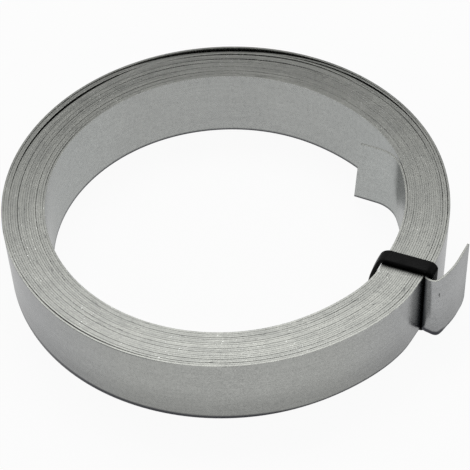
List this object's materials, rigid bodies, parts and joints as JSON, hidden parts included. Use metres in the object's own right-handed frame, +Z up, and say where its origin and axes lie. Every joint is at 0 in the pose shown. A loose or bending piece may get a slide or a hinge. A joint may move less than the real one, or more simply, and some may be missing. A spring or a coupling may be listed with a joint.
{
  "type": "roll of galvanized steel strap",
  "caption": "Roll of plain galvanized steel strap wound on its edge, lying flat, with a black tie round one side and its two ends sprung loose.",
  "frame": {"origin": "the point where the bore's axis meets the floor that the roll lies on", "axes": "+Z up along the bore's axis, +X towards the side where the two loose ends and the tie are"},
  "size_m": [0.1756, 0.1718, 0.0338],
  "materials": {
    "galvanized_steel": "matt zinc coating with a faint mottle",
    "black_plastic": "satin"
  },
  "bodies": {
    "root": {"strap_roll": "galvanized_steel", "tie_band": "black_plastic"}
  },
  "joints": []
}
